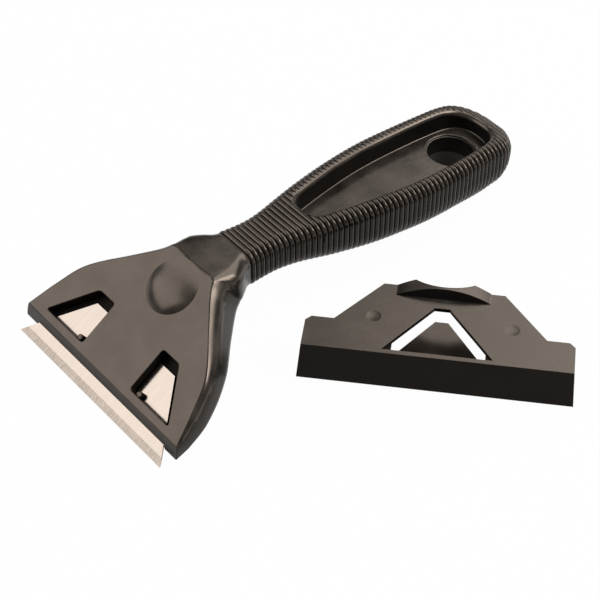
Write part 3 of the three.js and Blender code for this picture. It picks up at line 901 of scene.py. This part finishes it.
def relax_neck(body):
    """Runs the sides of the head smoothly into the neck."""
    work = bmesh.new()
    work.from_mesh(body.data)
    near = []
    for vertex in work.verts:
        place = HEAD_FRAME.inverted() @ vertex.co
        side = abs(place.y) > NECK_HALF and -RELAX_DEPTH < place.z < -EDGE_RADIUS
        if side and abs(place.x - CREASE) < RELAX_REACH:
            near.append(vertex)
    for _ in range(RELAX_STEPS):
        bmesh.ops.smooth_vert(
            work, verts=near, factor=RELAX_SHARE,
            use_axis_x=True, use_axis_y=True, use_axis_z=True,
        )
    work.to_mesh(body.data)
    work.free()


def scraper_body():
    """Handle, neck and head in one moulding."""
    body = body_shell()
    relax_neck(body)
    for side in (-1, 1):
        combine(body, head_pocket(side), "DIFFERENCE")
    combine(body, blade_slot(), "DIFFERENCE")
    combine(body, handle_hollow(), "DIFFERENCE")
    combine(body, handle_pockets(), "DIFFERENCE")
    combine(body, hanging_hole(), "DIFFERENCE")
    for side in (-1, 1):
        combine(body, hold_down_pip(side), "UNION")
    finish_mesh(body)
    body.location = TOOL_ORIGIN
    return body


def scraper_blade():
    """Trapezoid blade, ground on both sides of its edge, with two notches in its back."""
    thick = BLADE_THICKNESS / 2
    back = BLADE_WIDTH - BLADE_REACH
    ground = GRIND_WIDTH - BLADE_REACH
    edge = -BLADE_REACH
    profile = [(edge, 0), (ground, -thick), (back, -thick), (back, thick), (ground, thick)]
    rows = [[Vector((x, side * blade_half(x), z)) for x, z in profile] for side in (-1, 1)]
    blade = solid("scraper_blade_detail", rows)
    for side in (-1, 1):
        notch = box_prism(back, side * NOTCH_OFFSET, 2 * NOTCH_DEPTH, NOTCH_WIDTH, -CUT, CUT)
        combine(blade, notch, "DIFFERENCE")
    finish_mesh(blade, BLADE_SHARP)
    place = HEAD_FRAME @ Matrix.Translation((0, 0, -BLADE_DEPTH))
    place.translation = TOOL_ORIGIN + place.translation * MM
    blade.matrix_world = place
    return blade


def across(half):
    """The same half outline on both sides of the guard's middle."""
    return half + [(-x, y) for x, y in reversed(half)]


def side_prism(profile, low, high):
    """Prism of a (depth, height) profile along the guard's width."""
    turn = Matrix(((0, 0, 1), (1, 0, 0), (0, 1, 0))).to_4x4()
    return prism(profile, low, high, turn)


def front_prism(profile, low, high):
    """Prism of a (width, height) profile along the guard's depth."""
    turn = Matrix(((1, 0, 0), (0, 0, 1), (0, 1, 0))).to_4x4()
    return prism(profile, low, high, turn)


def guard_panel():
    """Stepped top panel with a wedge-shaped slot."""
    half = [
        (GUARD_HALF, GUARD_LEAN), (GUARD_HALF, SHOULDER_DEPTH - SHOULDER_CORNER),
        (GUARD_HALF - SHOULDER_CORNER, SHOULDER_DEPTH), (SHOULDER_INNER, SHOULDER_DEPTH),
        (PANEL_REAR_HALF, PANEL_DEPTH),
    ]
    panel = prism(across(half), GUARD_HEIGHT - GUARD_PANEL, GUARD_HEIGHT)
    slot = across([(SLOT_BASE_HALF, SLOT_BASE), (SLOT_APEX_HALF, SLOT_APEX)])
    return combine(panel, prism(slot, -CUT, CUT), "DIFFERENCE")


def guard_wall():
    """Front wall, leaning back."""
    profile = [
        (0, 0), (GUARD_WALL, 0),
        (GUARD_LEAN + GUARD_WALL, GUARD_HEIGHT), (GUARD_LEAN, GUARD_HEIGHT),
    ]
    return side_prism(profile, -GUARD_HALF, GUARD_HALF)


def guard_end(side):
    """Upright wall that closes one end."""
    rear = SHOULDER_DEPTH - SHOULDER_CORNER
    top = GUARD_HEIGHT - GUARD_PANEL / 2
    front = GUARD_WALL / 2
    profile = [(front, 0), (rear, 0), (rear, top), (front + GUARD_LEAN * top / GUARD_HEIGHT, top)]
    low = GUARD_HALF - GUARD_WALL if side > 0 else -GUARD_HALF
    return side_prism(profile, low, low + GUARD_WALL)


def guard_tongue():
    """Tapered tongue at the foot of the front wall, between the wings."""
    root = WING_INNER - TONGUE_GAP
    half = [(root, GUARD_WALL / 2), (root, SHOULDER_DEPTH), (TONGUE_TIP_HALF, TONGUE_TIP)]
    return prism(across(half), 0, TONGUE_THICKNESS)


def guard_wing(side):
    """Flat wing at the foot of the front wall, out to one end."""
    outer = GUARD_HALF - GUARD_WALL / 2
    points = [
        (WING_INNER, GUARD_WALL / 2), (outer, GUARD_WALL / 2),
        (outer, SHOULDER_DEPTH - SHOULDER_CORNER),
        (SHOULDER_INNER, SHOULDER_DEPTH), (WING_INNER, WING_DEPTH),
    ]
    return prism([(side * x, y) for x, y in points], 0, TONGUE_THICKNESS)


def guard_lip():
    """Arched thumb lip at the rear of the panel, its front leaning back."""
    foot = GUARD_HEIGHT - GUARD_PANEL / 2
    top = GUARD_HEIGHT + LIP_HEIGHT
    rear = LIP_REAR + LIP_MARGIN
    radius = (LIP_HALF ** 2 + LIP_HEIGHT ** 2) / (2 * LIP_HEIGHT)
    spread = math.asin(LIP_HALF / radius)
    arch = [(-LIP_HALF, foot), (LIP_HALF, foot)]
    for k in range(LIP_STEPS + 1):
        a = lerp(spread, -spread, k / LIP_STEPS)
        arch.append((radius * math.sin(a), top - radius * (1 - math.cos(a))))
    lip = front_prism(arch, LIP_FRONT - LIP_MARGIN, rear)
    half = [
        (LIP_HALF + LIP_MARGIN, LIP_FRONT - 2 * LIP_MARGIN),
        (LIP_HALF + LIP_MARGIN, PANEL_DEPTH - LIP_CORNER),
        (LIP_HALF, PANEL_DEPTH), (LIP_REAR_HALF, LIP_REAR),
    ]
    combine(lip, prism(across(half), 0, CUT), "INTERSECT")
    crest = lerp(LIP_FRONT, LIP_CREST, 1 + LIP_MARGIN / LIP_HEIGHT)
    profile = [
        (LIP_FRONT, foot - LIP_MARGIN), (rear, foot - LIP_MARGIN), (rear, top + LIP_MARGIN),
        (crest, top + LIP_MARGIN), (LIP_FRONT, GUARD_HEIGHT),
    ]
    return combine(lip, side_prism(profile, -GUARD_HALF, GUARD_HALF), "INTERSECT")


def lip_scallop():
    """Cutter for the hollow in the lip's rear, with a small flat at each end."""
    sag = LIP_REAR - SCALLOP_DIP
    reach = LIP_REAR_HALF - FIT_GAP
    radius = (reach ** 2 + sag ** 2) / (2 * sag)
    place = Matrix.Translation((0, SCALLOP_DIP + radius, GUARD_HEIGHT))
    return drum(radius, -CUT, CUT, SCALLOP_AROUND, place)


def dimple(place):
    """Ball that leaves a shallow sink mark in the panel's top."""
    radius = (DIMPLE_RADIUS ** 2 + DIMPLE_DEPTH ** 2) / (2 * DIMPLE_DEPTH)
    turns = [k / DIMPLE_STEPS * math.pi for k in range(DIMPLE_STEPS + 1)]
    profile = [(radius * math.sin(a), -radius * math.cos(a)) for a in turns]
    centre = GUARD_HEIGHT - DIMPLE_DEPTH + radius
    return lathe(profile, DIMPLE_STEPS, Matrix.Translation((*place, centre)))


def soften(thing):
    """Small rounds on every edge that turns sharply."""
    work = bmesh.new()
    work.from_mesh(thing.data)
    bmesh.ops.remove_doubles(work, verts=work.verts, dist=TOUCH)
    bmesh.ops.dissolve_limit(work, angle_limit=FLAT_ANGLE, verts=work.verts, edges=work.edges)
    edges = [e for e in work.edges if e.is_manifold and e.calc_face_angle(0) > BEVEL_ANGLE]
    bmesh.ops.bevel(
        work, geom=edges, offset=GUARD_BEVEL, offset_type="OFFSET", segments=BEVEL_SEGMENTS,
        profile=BEVEL_PROFILE, affect="EDGES", clamp_overlap=True,
    )
    work.to_mesh(thing.data)
    work.free()


def blade_guard():
    """Loose guard in one moulding, narrower towards its top."""
    guard = guard_panel()
    guard.name = "blade_guard_detail"
    combine(guard, guard_wall(), "UNION")
    combine(guard, guard_tongue(), "UNION")
    for side in (-1, 1):
        combine(guard, guard_end(side), "UNION")
        combine(guard, guard_wing(side), "UNION")
    combine(guard, guard_lip(), "UNION")
    combine(guard, lip_scallop(), "DIFFERENCE")
    soften(guard)
    for place in DIMPLE_PLACES:
        combine(guard, dimple(place), "DIFFERENCE")
    for vertex in guard.data.vertices:
        vertex.co.x *= 1 + GUARD_DRAFT * (DRAFT_LEVEL - vertex.co.z / GUARD_HEIGHT)
    finish_mesh(guard)
    place = Matrix.Translation(TOOL_ORIGIN + Vector((GUARD_X, GUARD_Y, 0)) * MM)
    guard.matrix_world = place @ Matrix.Rotation(GUARD_YAW, 4, "Z")
    return guard


class Look:
    """A procedural material, with short ways to add nodes to it."""

    def __init__(self, name):
        self.material = bpy.data.materials.new(name)
        self.material.use_nodes = True
        self.tree = self.material.node_tree

    def fill(self, node, sockets):
        """Sets inputs of a node to values, or links them to outputs."""
        for name, value in sockets.items():
            if isinstance(value, bpy.types.NodeSocket):
                self.tree.links.new(value, node.inputs[name])
            else:
                node.inputs[name].default_value = value

    def paint(self, sockets):
        """Fills the main shader's inputs, and gives the finished material."""
        self.fill(self.tree.nodes["Principled BSDF"], sockets)
        return self.material

    def add(self, kind, sockets, output, operation=None):
        """Adds a node and gives one of its outputs."""
        node = self.tree.nodes.new("ShaderNode" + kind)
        if operation:
            node.operation = operation
        self.fill(node, sockets)
        return node.outputs[output]

    def places(self, stretch=1):
        """Places on the object, stretched along its first axis."""
        place = self.add("TexCoord", {}, "Object")
        return self.add("Mapping", {"Vector": place, "Scale": (stretch, 1, 1)}, "Vector")

    def noise(self, vector, scale, detail):
        return self.add("TexNoise", {"Vector": vector, "Scale": scale, "Detail": detail}, "Fac")

    def span(self, value, low, high):
        """Turns a value from 0 to 1 into one between two limits."""
        return self.add("MapRange", {"Value": value, "To Min": low, "To Max": high}, "Result")

    def ramp(self, value, low, high):
        """Turns a grey value into a run between two colours."""
        node = self.tree.nodes.new("ShaderNodeValToRGB")
        for stop, place, colour in zip(node.color_ramp.elements, RAMP_PLACES, (low, high)):
            stop.position = place
            stop.color = (*colour, 1)
        self.fill(node, {"Fac": value})
        return node.outputs["Color"]

    def bump(self, height, strength, distance, **under):
        sockets = {"Height": height, "Strength": strength, "Distance": distance, **under}
        return self.add("Bump", sockets, "Normal")


def black_plastic(name, dark, pale, gloss, rough):
    """Moulded black plastic: cloudy sheen, a fine grain and faint drawn marks."""
    look = Look(name)
    plain = look.places()
    cloud = look.noise(plain, CLOUD_SCALE, detail=4)
    speck = look.noise(plain, GRAIN_SCALE, detail=2)
    marks = look.noise(look.places(DRAWN_STRETCH), DRAWN_SCALE, detail=3)
    grain = look.bump(speck, GRAIN_STRENGTH, GRAIN_HEIGHT)
    return look.paint({
        "Base Color": look.ramp(cloud, dark, pale),
        "Roughness": look.span(cloud, *rough),
        "Normal": look.bump(marks, DRAWN_STRENGTH, DRAWN_HEIGHT, Normal=grain),
        "Specular IOR Level": gloss,
        "Specular Tint": WARM_TINT,
    })


def body_plastic():
    """Satin black of the body's top."""
    pale = (0.042, 0.036, 0.031)
    return black_plastic("body_plastic", BLACK, pale, gloss=0.8, rough=(0.18, 0.3))


def shaded_side_plastic():
    """Duller, darker copy of the body's black for its sides and underside, with painted shade."""
    pale = (0.02, 0.0172, 0.015)
    return black_plastic("shaded_side_plastic", BLACK, pale, gloss=0.28, rough=(0.18, 0.3))


def guard_plastic():
    """Satin black of the guard."""
    pale = (0.036, 0.031, 0.0267)
    return black_plastic("guard_plastic", BLACK, pale, gloss=0.8, rough=(0.2, 0.34))


def painted_shade_plastic():
    """Matt, darker black that paints shade into grooves, recesses and the guard's front."""
    dark = (0.006, 0.005, 0.0045)
    pale = (0.01, 0.0085, 0.0075)
    return black_plastic("painted_shade_plastic", dark, pale, gloss=0.1, rough=(0.5, 0.6))


def marked_steel(name, dark, pale, rough):
    """Steel with fine marks across the blade."""
    look = Look(name)
    marks = look.noise(look.places(STEEL_STRETCH), STEEL_SCALE, detail=3)
    cloud = look.noise(look.places(), STEEL_CLOUD_SCALE, detail=3)
    return look.paint({
        "Base Color": look.ramp(marks, dark, pale),
        "Roughness": look.span(cloud, *rough),
        "Normal": look.bump(marks, STEEL_STRENGTH, STEEL_HEIGHT),
        "Metallic": 1,
    })


def blade_steel():
    """Bright steel of the blade's flat sides."""
    dark = (0.385, 0.327, 0.282)
    pale = (0.43, 0.367, 0.318)
    return marked_steel("blade_steel", dark, pale, rough=(0.14, 0.2))


def ground_steel():
    """Duller steel of the ground strip along the edge."""
    dark = (0.31, 0.265, 0.225)
    pale = (0.46, 0.39, 0.335)
    return marked_steel("ground_steel", dark, pale, rough=(0.3, 0.45))


def on_ground_strip(face):
    """True on the ground strip along the blade's edge."""
    ground = face.center.x < (GRIND_WIDTH - BLADE_REACH) * MM
    return ground and abs(face.normal.z) > GRIND_SLOPE


def on_guard_front(face):
    """True on the faces of the guard that look forwards, where shade is painted."""
    return face.normal.y < FRONT_SLOPE


def in_window(face):
    """True on the walls and floors of the windows in the head, where shade is painted."""
    place = HEAD_FRAME.inverted() @ (face.center / MM)
    upright = abs((HEAD_FRAME.to_3x3().inverted() @ face.normal).z) < WINDOW_SLOPE
    within = WINDOW_INNER - FIT_GAP < abs(place.y) < WINDOW_OUTER_FRONT + FIT_GAP
    within = within and WINDOW_FRONT - FIT_GAP < place.x < WINDOW_REAR + FIT_GAP
    top = -WINDOW_EDGE if upright else -PIP_TOP - FIT_GAP
    return within and -WINDOW_FLOOR - FIT_GAP < place.z < top


def in_hollow(face):
    """True on the walls of the hollow, and in the upper part of the hanging hole, where shade is
    painted.
    """
    place = WEB_FRAME.inverted() @ (face.center / MM)
    upright = abs(face.normal.z) < HOLLOW_SLOPE
    bore = math.hypot(place.x, place.y) < HOLE_RADIUS + FIT_GAP
    bore = bore and -BORE_LINE < place.z < -HOLLOW_ROUND
    wall = HOLLOW_ROUND < place.z < HOLLOW_DEPTH and abs(place.y) < HOLLOW_HALF + FIT_GAP
    wall = wall and -HOLLOW_TIP - FIT_GAP < place.x < HOLLOW_REAR + FIT_GAP
    return upright and (bore or wall)


def in_groove(face):
    """True low in the grooves between the ribs, on the outside of the handle, where shade is
    painted.
    """
    place = face.center / MM
    if place.x < RIB_START - RIB_PITCH / 2 or rib_groove(place.x) < RIB_DEPTH * GROOVE_SHARE:
        return False
    if abs(place.y) > GROOVE_SIDE * grip_measures(place.x)[0]:
        return True
    ahead = place.x < HOLE_X - HOLLOW_TIP
    high = (WEB_FRAME.inverted() @ place).z > HOLLOW_DEPTH - RIM_ROUND
    return (ahead or high) and rib_share(place.x, abs(place.y)) > GROOVE_SHARE


def body_finish(face):
    """Material of a face of the body: painted shade in recesses, and a duller copy with painted
    shade on the sides.
    """
    if in_window(face) or in_hollow(face) or in_groove(face):
        return PAINTED_SHADE
    return SHADED_SIDE if face.normal.z < SIDE_SLOPE else GLOSSY


def dress(thing, materials, choice, body, node):
    """Gives a piece its materials, chosen face by face, and puts it on its body."""
    thing.data.materials.clear()
    for material in materials:
        thing.data.materials.append(material)
    for face in thing.data.polygons:
        face.material_index = int(choice(face))
    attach(thing, body)
    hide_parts(node)


def floor_material():
    """Pale floor that shows as nearly white, keeps a little of the object's shadow, and has painted
    shade under the hanging hole.
    """
    look = Look("pale_floor")
    path = look.tree.nodes.new("ShaderNodeLightPath").outputs
    rays = look.add("Math", {0: path["Is Camera Ray"], 1: path["Is Glossy Ray"]}, 0, "MAXIMUM")
    rays = look.add("Math", {0: rays, 1: path["Is Transmission Ray"]}, 0, "MAXIMUM")
    share = look.add("Math", {0: rays, 1: painted_hole_shade(look)}, 0, "MULTIPLY")
    diffuse = look.add("BsdfDiffuse", {"Color": FLOOR_COLOUR}, "BSDF")
    white = look.add("Emission", {}, "Emission")
    mixed = look.add("MixShader", {"Fac": share, 1: diffuse, 2: white}, "Shader")
    look.fill(look.tree.nodes["Material Output"], {"Surface": mixed})
    look.tree.nodes.remove(look.tree.nodes["Principled BSDF"])
    return look.material


def painted_hole_shade(look):
    """Value that is low on the floor under the hanging hole, painting shade there: the white glow
    gives way to the floor's real shadow.
    """
    foot = Vector((HOLE_X - HOLE_Z * math.tan(WEB_TILT), 0, 0))
    ends = {0: look.add("TexCoord", {}, "Object"), 1: TOOL_ORIGIN + foot * MM}
    return look.add("MapRange", {
        "Value": look.add("VectorMath", ends, "Value", "DISTANCE"),
        "From Min": (HOLE_RADIUS + FIT_GAP) * MM,
        "From Max": (HOLE_RADIUS + 3 * FIT_GAP) * MM,
        "To Min": HOLE_SHADE_SHARE,
        "To Max": FLOOR_WHITE,
    }, "Result")


def make_floor():
    bpy.ops.mesh.primitive_plane_add(size=FLOOR_SIZE)
    floor = bpy.context.object
    floor.name = "floor"
    floor.data.transform(Matrix.Translation((0, 0, -FLOOR_GAP)))
    floor.data.materials.append(floor_material())


def make_camera():
    data = bpy.data.cameras.new("camera")
    data.lens = CAMERA_LENS
    data.sensor_width = SENSOR_WIDTH
    data.clip_start = CLIP_START
    data.clip_end = CLIP_END
    camera = linked("camera", data)
    up = CAMERA_RIGHT.cross(CAMERA_LOOK)
    right = CAMERA_LOOK.cross(up)
    turn = Matrix((right, up, -CAMERA_LOOK)).transposed()
    camera.matrix_world = Matrix.Translation(TOOL_ORIGIN + CAMERA_PLACE * MM) @ turn.to_4x4()
    bpy.context.scene.camera = camera


def softbox(name, turn, height, wide, tall, radiance):
    """Soft light round the object: turn from the far side, height and spread in degrees."""
    turn, height, wide, tall = (math.radians(angle) for angle in (turn, height, wide, tall))
    data = bpy.data.lights.new(name, "AREA")
    data.shape = "RECTANGLE"
    data.size = 2 * LAMP_DISTANCE * math.tan(wide / 2)
    data.size_y = 2 * LAMP_DISTANCE * math.tan(tall / 2)
    data.energy = radiance * data.size * data.size_y * math.pi
    lamp = linked(name, data)
    level = IMAGE_RIGHT * math.sin(turn) + IMAGE_AWAY * math.cos(turn)
    lamp.location = (level * math.cos(height) + Vector((0, 0, math.sin(height)))) * LAMP_DISTANCE
    lamp.rotation_euler = (-lamp.location).to_track_quat("-Z", "Y").to_euler()


def make_lights():
    softbox("left_softbox", turn=274, height=39, wide=54, tall=42, radiance=2.0)
    softbox("back_softbox", turn=57, height=48, wide=70, tall=38, radiance=2.6)
    softbox("right_softbox", turn=98, height=44, wide=22, tall=22, radiance=7)
    world = bpy.data.worlds.new("studio")
    world.use_nodes = True
    background = world.node_tree.nodes["Background"]
    background.inputs["Color"].default_value = WORLD_COLOUR
    background.inputs["Strength"].default_value = WORLD_STRENGTH
    bpy.context.scene.world = world


make_camera()
make_lights()
make_floor()
# One matt black with painted shade, for the body's recesses and the guard's front
painted_shade = painted_shade_plastic()
dress(
    scraper_body(), [body_plastic(), painted_shade, shaded_side_plastic()], body_finish,
    "scraper", "scraper_body",
)
dress(
    scraper_blade(), [blade_steel(), ground_steel()], on_ground_strip,
    "blade", "scraper_blade",
)
dress(
    blade_guard(), [guard_plastic(), painted_shade], on_guard_front,
    "guard", "blade_guard",
)

bpy.context.scene.view_settings.view_transform = "Standard"
